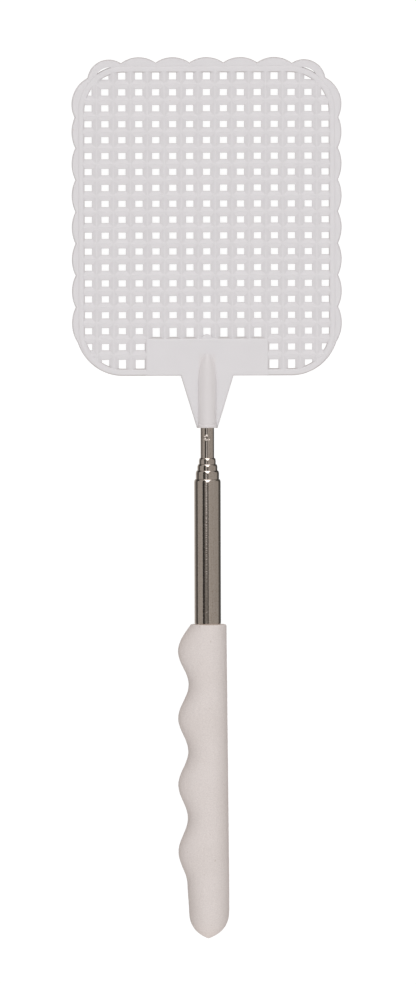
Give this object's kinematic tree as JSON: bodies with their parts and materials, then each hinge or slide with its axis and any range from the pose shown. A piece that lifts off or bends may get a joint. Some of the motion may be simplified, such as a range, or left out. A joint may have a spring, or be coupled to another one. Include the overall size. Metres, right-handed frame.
{
  "type": "fly swatter",
  "caption": "Telescopic fly swatter: perforated rounded head with a scalloped border on nested sliding steel tubes, with a foam grip shaped for the fingers.",
  "frame": {"origin": "middle of the collapsed outline, on the surface the swatter lies on", "axes": "+Y along the tubes towards the head, +Z out of the head's face, finger swells towards -X"},
  "size_m": [0.09, 0.294, 0.014],
  "materials": {
    "head_plastic": "satin moulded, white",
    "stainless": "drawn and polished lengthwise",
    "brass": "turned",
    "spring_bronze": "rolled strip",
    "plug_plastic": "matt",
    "grip_foam": "fine-grained matt foam"
  },
  "bodies": {
    "handle": {"tube_5": "stainless", "base_plug": "plug_plastic", "grip": "grip_foam"},
    "sleeve_4": {"spring_4a": "spring_bronze", "spring_4b": "spring_bronze"},
    "section_4": {"tube_4": "stainless", "end_plug_4": "brass"},
    "sleeve_3": {"spring_3a": "spring_bronze", "spring_3b": "spring_bronze"},
    "section_3": {"tube_3": "stainless", "end_plug_3": "brass"},
    "sleeve_2": {"spring_2a": "spring_bronze", "spring_2b": "spring_bronze"},
    "section_2": {"tube_2": "stainless", "end_plug_2": "brass"},
    "sleeve_1": {"spring_1a": "spring_bronze", "spring_1b": "spring_bronze"},
    "head_section": {"tube_1": "stainless", "end_plug_1": "brass", "tip_plug": "brass", "swatter_head": "head_plastic"}
  },
  "joints": [
    {"name": "section_4_slide", "type": "slide", "parent": "handle", "child": "sleeve_4", "axis": [0, 1, 0], "range_m": [0, 0.1308]},
    {"name": "section_4_turn", "type": "hinge", "parent": "sleeve_4", "child": "section_4", "pos_m": [0, 0, 0.007], "axis": [0, 1, 0], "continuous": true},
    {"name": "section_3_slide", "type": "slide", "parent": "section_4", "child": "sleeve_3", "axis": [0, 1, 0], "range_m": [0, 0.1205]},
    {"name": "section_3_turn", "type": "hinge", "parent": "sleeve_3", "child": "section_3", "pos_m": [0, 0, 0.007], "axis": [0, 1, 0], "continuous": true},
    {"name": "section_2_slide", "type": "slide", "parent": "section_3", "child": "sleeve_2", "axis": [0, 1, 0], "range_m": [0, 0.1094]},
    {"name": "section_2_turn", "type": "hinge", "parent": "sleeve_2", "child": "section_2", "pos_m": [0, 0, 0.007], "axis": [0, 1, 0], "continuous": true},
    {"name": "head_section_slide", "type": "slide", "parent": "section_2", "child": "sleeve_1", "axis": [0, 1, 0], "range_m": [0, 0.0983]},
    {"name": "head_section_turn", "type": "hinge", "parent": "sleeve_1", "child": "head_section", "pos_m": [0, 0, 0.007], "axis": [0, 1, 0], "continuous": true}
  ]
}
